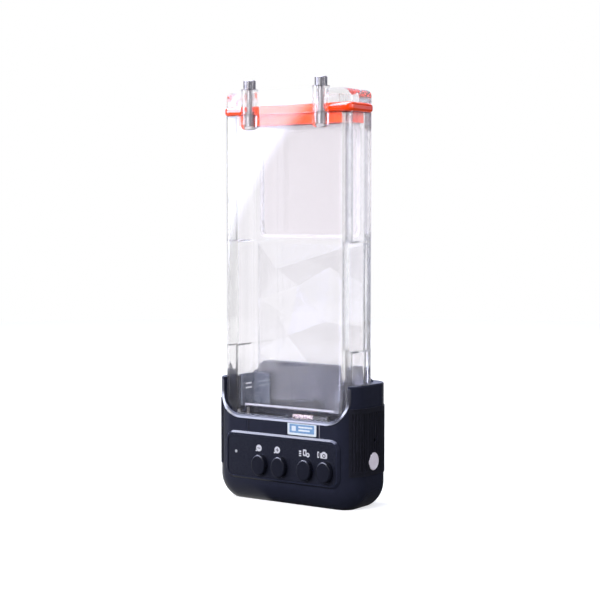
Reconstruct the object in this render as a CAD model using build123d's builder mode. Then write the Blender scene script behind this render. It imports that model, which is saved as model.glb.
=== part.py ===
"""Waterproof phone case: a clear pressure housing for a phone, closed by a gasketed lid
with two thumb screws, on a black control base with push buttons.
Millimetres, +Z up, front towards -Y. The origin is on the resting surface, under the middle
of the bounding box."""
from build123d import *
import math
import os

os.makedirs("parts", exist_ok=True)

# Control base
ear_wall = 6.0
back_depth = 11.3
base_corner_r = 13.0
base_foot_r = 17.0
base_sink = 2.0
ear_height = 75.0
shell_wall = 3.0
floor_wall = 4.0
deck_wall = 4.0
back_lip_height = 84.0
back_lip_inset = 8.5
back_lip_run = 37.0
back_lip_corner = 7.0
back_shoulder_height = 78.0
back_lip_wall = 3.8

# Front lip: U-shaped opening that shows the housing's foot
lip_height = 53.0
lip_cover = 1.0
lip_corner_r = 14.0
lip_edge_r = 0.9
lip_overlap = 2.0

# Clear housing
housing_width = 93.0
housing_depth = 26.0
housing_height = 184.4
housing_corner_r = 4.0
housing_fit = 0.2
front_skin = 3.3
side_wall = 7.5
front_wall = 4.5
back_wall = 4.0
housing_floor = 5.7
cavity_corner_r = 2.0
waist_recess = 1.2
waist_length = 64.0
waist_rise = 20.0
waist_chamfer = 2.2
base_seal_thickness = 0.8
base_seal_band = 4.0

# Camera window
window_size = 69.0
window_corner_r = 5.0
window_thickness = 1.6
window_gap = 0.1
window_ledge = 2.5
window_seal_thickness = 0.4
window_drop = 6.0

# Faceted pattern on the back wall
relief_width = 73.0
relief_depth = 1.6
relief_gap = 3.5
relief_foot = 6.0

# Lid and gasket
lid_thickness = 8.6
lid_end_r = 7.0
lid_corner_r = 4.0
plug_length = 7.2
plug_wall = 2.0
plug_crown = 3.0
flange_thickness = 5.3
flange_proud = 0.8
flange_edge_r = 2.0
skirt_thickness = 2.0
sleeve_length = 6.2
sleeve_thickness = 1.6
sleeve_gap = 0.3
boss_r = 5.25
boss_rise = 1.4
boss_length = 9.2
boss_foot_r = 3.0
boss_gap = 0.2
screw_inset = 20.2
screw_proud = 0.5

# Thumb screws and their inserts
head_r = 3.75
head_height = 5.6
head_grooves = 24
head_groove_r = 0.25
head_edge = 0.4
shank_r = 1.7
thread_r = 2.0
thread_length = 6.2
thread_fit = 0.08
neck_r = 1.5
ring_r = 2.9
ring_thickness = 0.8
ring_rise = 0.8
ring_fit = 0.05
screw_hole_r = 2.2
ring_pocket_r = 3.3
screw_travel = 6.3
insert_r = 2.5
insert_length = 6.7

# Raised control border and plate
border_inset = 10.4
border_low = 13.4
border_drop = 0.8
border_r = 6.5
border_proud = 1.6
border_chamfer = 1.2
border_root = 1.0
border_rim = 2.3
plate_recess = 1.6
plate_thickness = 1.3
plate_gap = 0.15

# Front push buttons: the shutter's distance from the side, and their pitches
shutter_inset = 19.9
shutter_pitch = 14.2
middle_pitch = 18.8
zoom_pitch = 14.8
button_width = 10.0
button_tall = 12.6
button_level = 23.4
button_proud = 5.0
button_root = 0.4
button_edge_r = 0.8
button_gap = 0.15
button_travel = 1.0
button_pocket = 1.0
stem_r = 2.0
stem_fit = 0.06
seal_r = 3.1
seal_thickness = 1.2
gland_boss_r = 4.2
gland_boss_length = 2.2
clip_r = 3.4
clip_thickness = 0.6
clip_neck_r = 1.5
clip_fit = 0.02
board_gap = 6.6

# Tactile switches
switch_size = 6.0
switch_height = 2.0
plunger_r = 1.6
plunger_fit = 0.06
plunger_sink = 0.6
plunger_out = 1.3
switch_floor = 0.2

# Circuit board, wireless module and battery
board_inset = 12.7
board_low = 10.5
board_headroom = 6.0
board_thickness = 1.6
standoff_r = 2.5
standoff_inset = 4.0
board_screw_r = 0.9
board_screw_bite = 4.0
board_screw_head_r = 1.9
board_screw_head = 1.3
thread_slack = 0.05
module_width = 16.0
module_height = 13.0
module_thickness = 2.2
module_inset = 18.0
battery_width = 56.0
battery_headroom = 7.0
battery_thickness = 8.0
battery_level = 10.0
battery_shelf = 2.0
battery_edge_r = 1.5

# Side power button, on the right
power_r = 5.35
power_across = -0.3
power_level = 28.9
power_gap = 0.12
power_travel = 1.0
power_depth = 1.5
power_clearance = 0.4
power_edge = 0.4
power_board_width = 16.0
power_board_height = 14.0
power_standoff_inset = 2.5

# Grip pads
grip_low = 21.0
grip_high = 61.5
grip_reach = 5.6
grip_proud = 0.5
grip_sink = 0.8
rib_pitch = 2.0
rib_groove_r = 0.45
rib_margin = 3.0
dimple_r = 1.3
dimple_level = 41.6
dimple_depth = 0.9

# Name strip between the lip and the border
strip_width = 53.8
strip_tall = 8.0
strip_drop = 1.4
strip_thickness = 1.2
strip_gap = 0.15

# Indicator light in the control plate
light_inset = 18.8
light_rise = 1.9
light_r = 0.9
light_fit = 0.05

# Pieces seen through the clear floor
block_width = 10.5
strip_contact_width = 14.5
contact_side = 17.1
contact_depth = 6.0
contact_height = 3.4
contact_inset = 2.4
contact_fit = 0.1
contact_teeth = 14
contact_tooth = 0.5
contact_tooth_depth = 0.4

# Sensor cover in the lower left corner of the phone space
sensor_back_run = 13.0
sensor_side_run = 13.0
sensor_height = 19.0
sensor_thickness = 0.9
mark_length = 5.6
mark_height = 1.0
mark_thickness = 0.3
mark_level = 10.0
mark_pitch = 2.7

# Bottom cover, its screws, the screws of the housing and the tripod insert
cover_width = 62.0
cover_depth = 24.0
cover_corner_r = 5.0
cover_rim = 1.0
cover_block_width = 11.0
cover_block_depth = 8.25
cover_screw_inset = 3.5
cover_skin = 2.0
cover_gap = 0.15
cover_screw_r = 1.0
cover_screw_head_r = 1.9
cover_screw_length = 7.0
cover_boss_length = 5.0
cover_screw_head = 1.2
cover_hole_gap = 0.1
housing_screw_r = 1.5
housing_screw_head_r = 2.8
housing_screw_head = 2.0
housing_screw_bite = 3.6
housing_screw_inset_x = 9.0
housing_screw_inset_y = 5.0
tripod_thread_r = 3.175
tripod_insert_r = 4.6
tripod_length = 8.0
tripod_boss_r = 6.6

# Levels and planes worked out from the sizes above
base_width = housing_width + 2 * (housing_fit + ear_wall)
base_depth = front_skin + 2 * housing_fit + housing_depth + back_depth
mid_y = button_proud / 2
front_y = mid_y - base_depth / 2
back_y = mid_y + base_depth / 2
side_x = base_width / 2
deck_top = lip_height - lip_overlap
deck_low = deck_top - deck_wall
housing_low = deck_top + base_seal_thickness
rim_z = housing_low + housing_height
cavity_low = housing_low + housing_floor
housing_front = front_y + front_skin + housing_fit
housing_back = housing_front + housing_depth
housing_mid = housing_front + housing_depth / 2
cavity_width = housing_width - 2 * side_wall
cavity_depth = housing_depth - front_wall - back_wall
cavity_front = housing_front + front_wall
cavity_back = cavity_front + cavity_depth
cavity_mid = cavity_front + cavity_depth / 2
waist_low = ear_height + waist_rise
window_high = rim_z - window_drop
window_mid = window_high - window_size / 2
pane_size = window_size - 2 * window_gap
relief_high = window_high - window_size - relief_gap
relief_low = lip_height + relief_foot
lid_low = rim_z + flange_thickness
lid_high = lid_low + lid_thickness
boss_top = lid_high + boss_rise
screw_y = housing_front - screw_proud
screw_spacing = housing_width - 2 * screw_inset
screw_places = {"left": -screw_spacing / 2, "right": screw_spacing / 2}
back_lip_width = housing_width - 2 * back_lip_inset
room_front = front_y + shell_wall
room_back = back_y - shell_wall
board_front = room_front + board_gap
board_width = base_width - 2 * board_inset
board_high = deck_low - board_headroom
battery_height = deck_low - battery_headroom - battery_level
strip_high = lip_height - strip_drop
strip_low = strip_high - strip_tall
border_width = base_width - 2 * border_inset
border_high = strip_low - border_drop
border_mid = (border_low + border_high) / 2
border_height = border_high - border_low
border_y = front_y - border_proud
plate_back = border_y + plate_recess
plate_width = border_width - 2 * border_rim
plate_height = border_height - 2 * border_rim
shutter_x = side_x - shutter_inset
gallery_x = shutter_x - shutter_pitch
zoom_in_x = gallery_x - middle_pitch
zoom_out_x = zoom_in_x - zoom_pitch
button_places = {"button_zoom_out": zoom_out_x, "button_zoom_in": zoom_in_x,
                 "button_gallery": gallery_x, "button_shutter": shutter_x}
light_across = light_inset - side_x
light_level = border_mid + light_rise
module_across = module_inset - board_width / 2
contact_left = housing_width / 2 - contact_side - block_width - strip_contact_width
grip_start = side_x - grip_reach
cap_back = front_y + button_root
pocket_back = cap_back + button_travel + button_pocket - button_root
side_room_x = side_x - shell_wall
power_face = side_x + grip_proud
power_board_x = side_room_x - board_gap
power_y = mid_y + power_across
over = 1.0
near = 0.1


def facing_front(y, x=0, z=0):
    """Plane across the case that looks out of its front, with its own Y upwards."""
    return Plane(origin=(x, y, z), x_dir=(1, 0, 0), z_dir=(0, -1, 0))


def facing_side(x, y=0, z=0):
    """Plane that looks out of the right side, with its own Y upwards."""
    return Plane(origin=(x, y, z), x_dir=(0, 1, 0), z_dir=(1, 0, 0))


def save(piece, name):
    """Label one finished piece and write it."""
    piece.part.label = name
    export_step(piece.part, f"parts/{name}.step")


def base_form(inset, low, high):
    """Base block: a front outline with round feet, its edges rounded, cut flat below."""
    with BuildPart() as form:
        with BuildSketch(facing_front(front_y + inset)):
            with Locations((0, (high + inset - base_sink) / 2)):
                Rectangle(base_width - 2 * inset, high - inset + base_sink)
            fillet(vertices().group_by(Axis.Y)[0], base_foot_r - inset)
        extrude(amount=-(base_depth - 2 * inset))
        outlines = faces().sort_by(Axis.Y)[0].edges() + faces().sort_by(Axis.Y)[-1].edges()
        fillet(outlines.filter_by_position(Axis.Z, -base_sink, high - near), base_corner_r - inset)
        with BuildSketch(Plane.XY.offset(low)):
            with Locations((0, mid_y)):
                Rectangle(base_width, base_depth)
        extrude(amount=high - low, mode=Mode.INTERSECT)
    return form.part


# Hollow room inside the base, with a chimney behind the housing
with BuildPart() as room:
    add(base_form(shell_wall, floor_wall, deck_low))
    with BuildSketch(Plane.XY.offset(deck_low - over)):
        with Locations((0, (housing_back + housing_fit + shell_wall + room_back) / 2)):
            Rectangle(base_width - 2 * base_corner_r,
                      room_back - housing_back - housing_fit - shell_wall)
    extrude(amount=ear_height - shell_wall - deck_low + over)

# Band of the base wall that carries the grip pads
with BuildPart() as grip_band:
    with BuildSketch(Plane.XY.offset(grip_low)):
        with Locations((0, mid_y)):
            RectangleRounded(base_width + 2 * grip_proud, base_depth + 2 * grip_proud,
                             base_corner_r + grip_proud)
            RectangleRounded(base_width - 2 * grip_sink, base_depth - 2 * grip_sink,
                             base_corner_r - grip_sink, mode=Mode.SUBTRACT)
            Rectangle(2 * grip_start, base_depth * 2, mode=Mode.SUBTRACT)
    extrude(amount=grip_high - grip_low)

# Base shell
standoff_places = [(sx * (board_width / 2 - standoff_inset), z) for sx in (-1, 1)
                   for z in (board_low + standoff_inset, board_high - standoff_inset)]
power_standoff_places = [(power_y + sy * (power_board_width / 2 - power_standoff_inset),
                          power_level + sy * (power_board_height / 2 - power_standoff_inset))
                         for sy in (-1, 1)]
cover_screw_places = [(sx * (cover_width / 2 - cover_screw_inset),
                       mid_y + sy * (cover_depth / 2 - cover_screw_inset))
                      for sx in (-1, 1) for sy in (-1, 1)]
housing_screw_places = [(sx * (housing_width / 2 - housing_screw_inset_x),
                         housing_mid + sy * (housing_depth / 2 - housing_screw_inset_y))
                        for sx in (-1, 1) for sy in (-1, 1)]
with BuildPart() as base_shell:
    add(base_form(0, 0, ear_height))
    # raised back, seen through the housing
    with BuildSketch(facing_front(housing_back + housing_fit)):
        with Locations((0, back_lip_height - back_lip_run / 2)):
            RectangleRounded(back_lip_width, back_lip_run, back_lip_corner)
        with Locations((0, back_shoulder_height - back_lip_run / 2)):
            RectangleRounded(housing_width - 2 * lip_cover, back_lip_run, back_lip_corner)
    extrude(amount=-back_lip_wall)
    # pocket for the housing and the U-shaped opening in front of it
    with BuildSketch(Plane.XY.offset(deck_top)):
        with Locations((0, housing_mid)):
            RectangleRounded(housing_width + 2 * housing_fit, housing_depth + 2 * housing_fit,
                             housing_corner_r + housing_fit)
    extrude(amount=back_lip_height, mode=Mode.SUBTRACT)
    with BuildSketch(facing_front(front_y - over)):
        with Locations((0, lip_height + ear_height / 2)):
            Rectangle(housing_width - 2 * lip_cover, ear_height)
        fillet(vertices().group_by(Axis.Y)[0], lip_corner_r)
    extrude(amount=-(front_skin + over + housing_corner_r), mode=Mode.SUBTRACT)
    lip_edges = edges(Select.LAST).filter_by_position(
        Axis.Y, front_y - over / 2, front_y + front_skin - over / 2).filter_by_position(
        Axis.Z, lip_height - over, ear_height - over)
    ear_edges = edges().filter_by_position(
        Axis.Z, ear_height - near, ear_height + near).filter_by(
        lambda edge: abs((edge @ 0.5).X) > housing_width / 2 + housing_fit + near
        or (edge @ 0.5).Y > housing_back + housing_fit + back_lip_wall + near)
    fillet(lip_edges - lip_edges.filter_by(Axis.Y) + ear_edges, lip_edge_r)
    add(room.part, mode=Mode.SUBTRACT)
    # raised border round the controls
    with BuildSketch(facing_front(front_y + border_root)):
        with Locations((0, border_mid)):
            RectangleRounded(border_width, border_height, border_r)
    extrude(amount=border_root + border_proud)
    chamfer(faces().sort_by(Axis.Y)[0].edges(), border_chamfer)
    # recess for the plate, pockets and stem holes of the buttons
    with BuildSketch(facing_front(border_y)):
        with Locations((0, border_mid)):
            RectangleRounded(plate_width, plate_height, border_r - border_rim)
    extrude(amount=-plate_recess, mode=Mode.SUBTRACT)
    with BuildSketch(facing_front(border_y)):
        for place in button_places.values():
            with Locations((place, button_level)):
                Ellipse(button_width / 2 + button_gap, button_tall / 2 + button_gap)
    extrude(amount=-(pocket_back - border_y), mode=Mode.SUBTRACT)
    with BuildSketch(facing_front(room_front)):
        for place in button_places.values():
            with Locations((place, button_level)):
                Circle(gland_boss_r)
    extrude(amount=-gland_boss_length)
    with BuildSketch(facing_front(room_front + gland_boss_length)):
        for place in button_places.values():
            with Locations((place, button_level)):
                Circle(seal_r)
    extrude(amount=seal_thickness, mode=Mode.SUBTRACT)
    with BuildSketch(facing_front(border_y)):
        for place in button_places.values():
            with Locations((place, button_level)):
                Circle(stem_r + stem_fit)
        with Locations((light_across, light_level)):
            Circle(light_r + light_fit)
    extrude(amount=-(border_proud + shell_wall + gland_boss_length + over), mode=Mode.SUBTRACT)
    # standoffs for the circuit board
    with BuildSketch(facing_front(room_front)):
        with Locations(*standoff_places):
            Circle(standoff_r)
    extrude(amount=-board_gap)
    with BuildSketch(facing_front(board_front)):
        with Locations(*standoff_places):
            Circle(board_screw_r)
    extrude(amount=board_gap - over, mode=Mode.SUBTRACT)
    # shelf under the battery
    with BuildSketch(Plane.XY.offset(battery_level - battery_shelf)):
        with Locations((0, room_back - battery_thickness / 2)):
            Rectangle(battery_width, battery_thickness)
    extrude(amount=battery_shelf)
    # recess of the name strip
    with BuildSketch(facing_front(front_y)):
        with Locations((0, (strip_low + strip_high) / 2)):
            Rectangle(strip_width + 2 * strip_gap, strip_high - strip_low)
    extrude(amount=-strip_thickness, mode=Mode.SUBTRACT)
    # seats of the grip pads
    add(grip_band.part, mode=Mode.SUBTRACT)
    # power button: pocket, gland boss and stem hole in the right wall
    with BuildSketch(facing_side(side_x, power_y, power_level)):
        Circle(power_r + power_gap)
    extrude(amount=-(power_depth - grip_proud + power_travel + power_clearance),
            mode=Mode.SUBTRACT)
    with BuildSketch(facing_side(side_room_x, power_y, power_level)):
        Circle(gland_boss_r)
    extrude(amount=-gland_boss_length)
    with BuildSketch(facing_side(side_room_x - gland_boss_length, power_y, power_level)):
        Circle(seal_r)
    extrude(amount=seal_thickness, mode=Mode.SUBTRACT)
    with BuildSketch(facing_side(side_x, power_y, power_level)):
        Circle(stem_r + stem_fit)
    extrude(amount=-(shell_wall + gland_boss_length + over), mode=Mode.SUBTRACT)
    with BuildSketch(facing_side(side_room_x)):
        with Locations(*power_standoff_places):
            Circle(standoff_r)
    extrude(amount=-board_gap)
    with BuildSketch(facing_side(power_board_x)):
        with Locations(*power_standoff_places):
            Circle(board_screw_r)
    extrude(amount=board_gap - over, mode=Mode.SUBTRACT)
    # bottom opening with its ledge, and the screw bosses above it
    with BuildSketch(Plane.XY.offset(floor_wall)):
        with Locations(*cover_screw_places):
            Circle(cover_screw_head_r + cover_screw_r)
    extrude(amount=cover_boss_length)
    with BuildSketch(Plane.XY):
        with Locations((0, mid_y)):
            RectangleRounded(cover_width + 2 * cover_gap, cover_depth + 2 * cover_gap,
                             cover_corner_r + cover_gap)
    extrude(amount=cover_skin, mode=Mode.SUBTRACT)
    with BuildSketch(Plane.XY):
        with Locations((0, mid_y)):
            Rectangle(cover_width - 2 * cover_block_width, cover_depth - 2 * cover_rim)
            Rectangle(cover_width - 2 * cover_rim, cover_depth - 2 * cover_block_depth)
    extrude(amount=floor_wall + over / 2, mode=Mode.SUBTRACT)
    with BuildSketch(Plane.XY.offset(cover_skin)):
        with Locations(*cover_screw_places):
            Circle(cover_screw_r)
    extrude(amount=cover_screw_length - cover_skin, mode=Mode.SUBTRACT)
    # holes for the screws that hold the housing
    with BuildSketch(Plane.XY.offset(deck_low)):
        with Locations(*housing_screw_places):
            Circle(housing_screw_r)
    extrude(amount=deck_wall, mode=Mode.SUBTRACT)
save(base_shell, "base_shell")

# Seal between the housing's foot and the base
with BuildPart() as base_seal:
    with BuildSketch(Plane.XY.offset(deck_top)):
        with Locations((0, housing_mid)):
            RectangleRounded(housing_width, housing_depth, housing_corner_r)
            RectangleRounded(housing_width - 2 * base_seal_band, housing_depth - 2 * base_seal_band,
                             cavity_corner_r, mode=Mode.SUBTRACT)
        with Locations(*housing_screw_places):
            Circle(housing_screw_r + cover_hole_gap + over, mode=Mode.SUBTRACT)
    extrude(amount=base_seal_thickness)
save(base_seal, "base_seal")

# Faceted pattern: points across (-1 to 1), up (0 to 1) and deep (0 to 1), and its triangles
relief_points = {
    "a": (-0.16, 0.74, 1.00), "b": (-0.05, 0.90, 0.25), "c": (0.48, 0.86, 0.90),
    "d": (0.38, 0.52, 0.20), "e": (-0.38, 0.42, 0.90), "f": (-0.62, 0.84, 0.20),
    "g": (-0.64, 0.60, 0.60), "h": (0.10, 0.24, 0.95), "i": (0.68, 0.34, 0.70),
    "j": (-0.66, 0.22, 0.30), "k": (0.74, 0.66, 0.60),
    "l": (-1, 1, 0.5), "m": (-0.50, 1, 0.9), "n": (0.20, 1, 0.6), "o": (1, 1, 0.3),
    "p": (1, 0.76, 0.9), "q": (1, 0.50, 0.3), "r": (1, 0.20, 0.8), "s": (1, 0, 0.3),
    "t": (0.40, 0, 0.4), "u": (-0.30, 0, 0.8), "v": (-1, 0, 0.4), "w": (-1, 0.32, 0.8),
    "x": (-1, 0.64, 0.3)}
relief_facets = ["lmf", "mbf", "mnb", "nob", "ocb", "opc", "lfx", "fax", "fba", "bca", "cda",
                 "cpk", "ckd", "pqk", "kqd", "xag", "xgw", "age", "gew", "ade", "ehd", "qid",
                 "idh", "qri", "irh", "wej", "ejh", "wjv", "jvu", "juh", "uth", "thr", "rst"]


def relief_point(name, y=None):
    """Place of one point of the faceted pattern, or of its shadow on a plane y."""
    across, up, deep = relief_points[name]
    surface = housing_back - relief_depth * deep
    return (across * relief_width / 2, surface if y is None else y,
            relief_low + up * (relief_high - relief_low))


relief_border = "lmnopqrstuvwx"
with BuildPart() as relief_cutter:
    outside = housing_back + over
    walls = [Face(Wire.make_polygon([relief_point(p) for p in facet])) for facet in relief_facets]
    for first, second in zip(relief_border, relief_border[1:] + relief_border[0]):
        walls.append(Face(Wire.make_polygon([
            relief_point(first), relief_point(second),
            relief_point(second, outside), relief_point(first, outside)])))
    walls.append(Face(Wire.make_polygon([relief_point(p, outside) for p in relief_border])))
    add(Solid(Shell(walls)))

# Clear housing: one thick-walled moulding, open at the top
with BuildPart() as housing_body:
    with BuildSketch(Plane.XY.offset(housing_low)):
        with Locations((0, housing_mid)):
            RectangleRounded(housing_width, housing_depth, housing_corner_r)
    extrude(amount=housing_height)
    # recessed waist on both sides
    with BuildSketch(facing_front(housing_front - over)):
        with BuildLine():
            Polyline((housing_width / 2 - waist_recess, waist_low),
                     (housing_width / 2 - waist_recess, waist_low + waist_length),
                     (housing_width / 2 + waist_recess, waist_low + waist_length + waist_chamfer),
                     (housing_width / 2 + waist_recess, waist_low - waist_chamfer), close=True)
        make_face()
        mirror(about=Plane.YZ)
    extrude(amount=-housing_depth - 2 * over, mode=Mode.SUBTRACT)
    # screw bosses with rounded feet at the front of the mouth
    for screw_x in screw_places.values():
        with BuildSketch(Plane.XY.offset(rim_z)):
            with Locations((screw_x, screw_y)):
                Circle(boss_r)
        extrude(amount=-boss_length)
    fillet(edges().filter_by(GeomType.CIRCLE).filter_by_position(
        Axis.Z, rim_z - boss_length - over / 2, rim_z - boss_length + over / 2), boss_foot_r)
    # space for the phone
    with BuildSketch(Plane.XY.offset(cavity_low)):
        with Locations((0, cavity_mid)):
            RectangleRounded(cavity_width, cavity_depth, cavity_corner_r)
    extrude(amount=housing_height, mode=Mode.SUBTRACT)
    # camera window: opening and rebate from the back
    with BuildSketch(facing_front(cavity_back - over)):
        with Locations((0, window_mid)):
            RectangleRounded(window_size - 2 * window_ledge, window_size - 2 * window_ledge,
                             window_corner_r - window_ledge)
    extrude(amount=-(back_wall + 2 * over), mode=Mode.SUBTRACT)
    with BuildSketch(facing_front(housing_back)):
        with Locations((0, window_mid)):
            RectangleRounded(window_size, window_size, window_corner_r)
    extrude(amount=window_thickness + window_seal_thickness, mode=Mode.SUBTRACT)
    add(relief_cutter.part, mode=Mode.SUBTRACT)
    # seats of the threaded inserts, the contacts and the screws from the base
    with BuildSketch(Plane.XY.offset(rim_z)):
        for screw_x in screw_places.values():
            with Locations((screw_x, screw_y)):
                Circle(insert_r)
    extrude(amount=-insert_length, mode=Mode.SUBTRACT)
    with BuildSketch(Plane.XY.offset(housing_low)):
        with Locations((contact_left + (strip_contact_width + block_width) / 2,
                        housing_front + contact_inset + contact_depth / 2)):
            Rectangle(strip_contact_width + block_width + 2 * contact_fit,
                      contact_depth + 2 * contact_fit)
    extrude(amount=contact_height, mode=Mode.SUBTRACT)
    with BuildSketch(Plane.XY.offset(housing_low)):
        with Locations(*housing_screw_places):
            Circle(housing_screw_r + thread_slack)
    extrude(amount=housing_screw_bite, mode=Mode.SUBTRACT)
save(housing_body, "housing_body")

# Camera window and its seal
with BuildPart() as window_seal:
    with BuildSketch(facing_front(housing_back - window_thickness)):
        with Locations((0, window_mid)):
            RectangleRounded(pane_size, pane_size, window_corner_r - window_gap)
            RectangleRounded(window_size - 2 * window_ledge, window_size - 2 * window_ledge,
                             window_corner_r - window_ledge, mode=Mode.SUBTRACT)
    extrude(amount=window_seal_thickness)
save(window_seal, "window_seal")

with BuildPart() as camera_window:
    with BuildSketch(facing_front(housing_back)):
        with Locations((0, window_mid)):
            RectangleRounded(pane_size, pane_size, window_corner_r - window_gap)
    extrude(amount=window_thickness)
save(camera_window, "camera_window")

# Threaded inserts in the housing's bosses
for side, screw_x in screw_places.items():
    with BuildPart() as thread_insert:
        with BuildSketch(Plane.XY.offset(rim_z)):
            with Locations((screw_x, screw_y)):
                Circle(insert_r)
                Circle(thread_r + thread_fit, mode=Mode.SUBTRACT)
        extrude(amount=-insert_length)
    save(thread_insert, f"thread_insert_{side}")

# Lid: top plate with rounded ends, a front skirt, two bosses and a hollow plug
plug_width = cavity_width - 2 * (sleeve_gap + sleeve_thickness)
plug_depth = cavity_depth - 2 * (sleeve_gap + sleeve_thickness)
with BuildPart() as lid:
    with BuildSketch(Plane.XY.offset(lid_low)):
        with Locations((0, housing_mid)):
            RectangleRounded(housing_width, housing_depth, lid_corner_r)
    extrude(amount=lid_thickness)
    with BuildSketch(facing_front(housing_front - over)):
        with Locations((0, lid_high - lid_thickness)):
            Rectangle(housing_width, 2 * lid_thickness)
        fillet(vertices().group_by(Axis.Y)[-1], lid_end_r)
    extrude(amount=-housing_depth - 2 * over, mode=Mode.INTERSECT)
    # front skirt over the gasket, between the bosses
    with BuildSketch(Plane.XY.offset(rim_z + boss_gap)):
        with Locations((0, housing_front + skirt_thickness / 2)):
            Rectangle(screw_spacing, skirt_thickness)
    extrude(amount=flange_thickness - boss_gap)
    with BuildSketch(Plane.XY.offset(rim_z - plug_length)):
        with Locations((0, cavity_mid)):
            RectangleRounded(plug_width, plug_depth, cavity_corner_r)
    extrude(amount=plug_length + flange_thickness)
    with BuildSketch(Plane.XY.offset(rim_z - plug_length)):
        with Locations((0, cavity_mid)):
            RectangleRounded(plug_width - 2 * plug_wall, plug_depth - 2 * plug_wall,
                             cavity_corner_r / 2)
    extrude(amount=lid_high - plug_crown - rim_z + plug_length, mode=Mode.SUBTRACT)
    for screw_x in screw_places.values():
        with BuildSketch(Plane.XY.offset(rim_z)):
            with Locations((screw_x, screw_y)):
                Circle(boss_r)
        extrude(amount=boss_top - rim_z)
        with BuildSketch(Plane.XY.offset(rim_z)):
            with Locations((screw_x, screw_y)):
                Circle(screw_hole_r)
        extrude(amount=boss_top - rim_z, mode=Mode.SUBTRACT)
        with BuildSketch(Plane.XY.offset(rim_z)):
            with Locations((screw_x, screw_y)):
                Circle(ring_pocket_r)
        extrude(amount=ring_rise + ring_thickness + screw_travel + over / 2, mode=Mode.SUBTRACT)
save(lid, "lid")

# Gasket: rounded flange under the lid and a sleeve round the plug
with BuildPart() as lid_gasket:
    with BuildSketch(Plane.XY.offset(rim_z)):
        with Locations((0, housing_mid)):
            RectangleRounded(housing_width + 2 * flange_proud, housing_depth + 2 * flange_proud,
                             housing_corner_r + flange_proud)
    extrude(amount=flange_thickness)
    fillet(edges().group_by(Axis.Z)[0] + edges().group_by(Axis.Z)[-1], flange_edge_r)
    with BuildSketch(Plane.XY.offset(rim_z - sleeve_length)):
        with Locations((0, cavity_mid)):
            RectangleRounded(plug_width + 2 * sleeve_thickness, plug_depth + 2 * sleeve_thickness,
                             cavity_corner_r)
    extrude(amount=sleeve_length + flange_edge_r)
    with BuildSketch(Plane.XY.offset(rim_z - sleeve_length)):
        with Locations((0, cavity_mid)):
            RectangleRounded(plug_width, plug_depth, cavity_corner_r)
    extrude(amount=sleeve_length + flange_thickness, mode=Mode.SUBTRACT)
    # room for the lid's skirt and bosses
    with BuildSketch(Plane.XY.offset(rim_z)):
        with Locations((0, housing_front)):
            Rectangle(screw_spacing, 2 * (skirt_thickness + boss_gap))
        for screw_x in screw_places.values():
            with Locations((screw_x, screw_y)):
                Circle(boss_r + boss_gap)
    extrude(amount=flange_thickness, mode=Mode.SUBTRACT)
save(lid_gasket, "lid_gasket")

# Captive thumb screws with the rings that keep them in the lid
ring_low = rim_z + ring_rise
for side, screw_x in screw_places.items():
    with BuildPart() as thumb_screw:
        with BuildSketch(Plane.XY.offset(boss_top)):
            with Locations((screw_x, screw_y)):
                Circle(head_r)
        extrude(amount=head_height)
        chamfer(edges().group_by(Axis.Z)[-1], head_edge)
        with BuildSketch(Plane.XY.offset(boss_top + head_edge)):
            with Locations((screw_x, screw_y)):
                with PolarLocations(head_r, head_grooves):
                    Circle(head_groove_r)
        extrude(amount=head_height, mode=Mode.SUBTRACT)
        with BuildSketch(Plane.XY.offset(rim_z)):
            with Locations((screw_x, screw_y)):
                Circle(shank_r)
        extrude(amount=boss_top - rim_z)
        with BuildSketch(Plane.XY.offset(rim_z - thread_length)):
            with Locations((screw_x, screw_y)):
                Circle(thread_r)
        extrude(amount=thread_length + ring_rise - ring_fit)
        with BuildSketch(Plane.XY.offset(ring_low - ring_fit)):
            with Locations((screw_x, screw_y)):
                Circle(shank_r + over)
                Circle(neck_r, mode=Mode.SUBTRACT)
        extrude(amount=ring_thickness + 2 * ring_fit, mode=Mode.SUBTRACT)
    save(thumb_screw, f"thumb_screw_{side}")
    with BuildPart() as retaining_ring:
        with BuildSketch(Plane.XY.offset(ring_low)):
            with Locations((screw_x, screw_y)):
                Circle(ring_r)
                Circle(neck_r + ring_fit, mode=Mode.SUBTRACT)
        extrude(amount=ring_thickness)
    save(retaining_ring, f"retaining_ring_{side}")

# Grip pads with upright ribs
groove_path_r = base_corner_r + grip_proud
corner_x = side_x - base_corner_r
corner_y = base_depth / 2 - base_corner_r
start_angle = math.degrees(math.asin((grip_start - corner_x) / groove_path_r))
arc_step = math.degrees(rib_pitch / groove_path_r)
arc_grooves = int((90 - start_angle) / arc_step)
side_grooves = int(2 * corner_y / rib_pitch)
groove_places = []
for index in range(arc_grooves):
    turn = math.radians(90 - index * arc_step - arc_step / 2)
    for sy in (-1, 1):
        groove_places.append((corner_x + groove_path_r * math.sin(turn),
                              mid_y + sy * (corner_y + groove_path_r * math.cos(turn))))
for index in range(side_grooves):
    groove_places.append((side_x + grip_proud,
                          mid_y + (index - (side_grooves - 1) / 2) * rib_pitch))
for side, sx in {"left": -1, "right": 1}.items():
    with BuildPart() as side_grip:
        add(grip_band.part)
        split(bisect_by=Plane.YZ, keep=Keep.TOP if sx > 0 else Keep.BOTTOM)
        with BuildSketch(Plane.XY.offset(grip_low + rib_margin)):
            for x, y in groove_places:
                with Locations((sx * x, y)):
                    Circle(rib_groove_r)
        extrude(amount=grip_high - grip_low - 2 * rib_margin, mode=Mode.SUBTRACT)
        if sx > 0:
            with BuildSketch(facing_side(power_face, power_y, power_level)):
                Circle(power_r + power_gap)
            extrude(amount=-2 * (grip_proud + grip_sink), mode=Mode.SUBTRACT)
            with BuildSketch(facing_side(power_face, power_y, dimple_level)):
                Circle(dimple_r)
            extrude(amount=-dimple_depth, mode=Mode.SUBTRACT)
    save(side_grip, f"side_grip_{side}")

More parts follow.
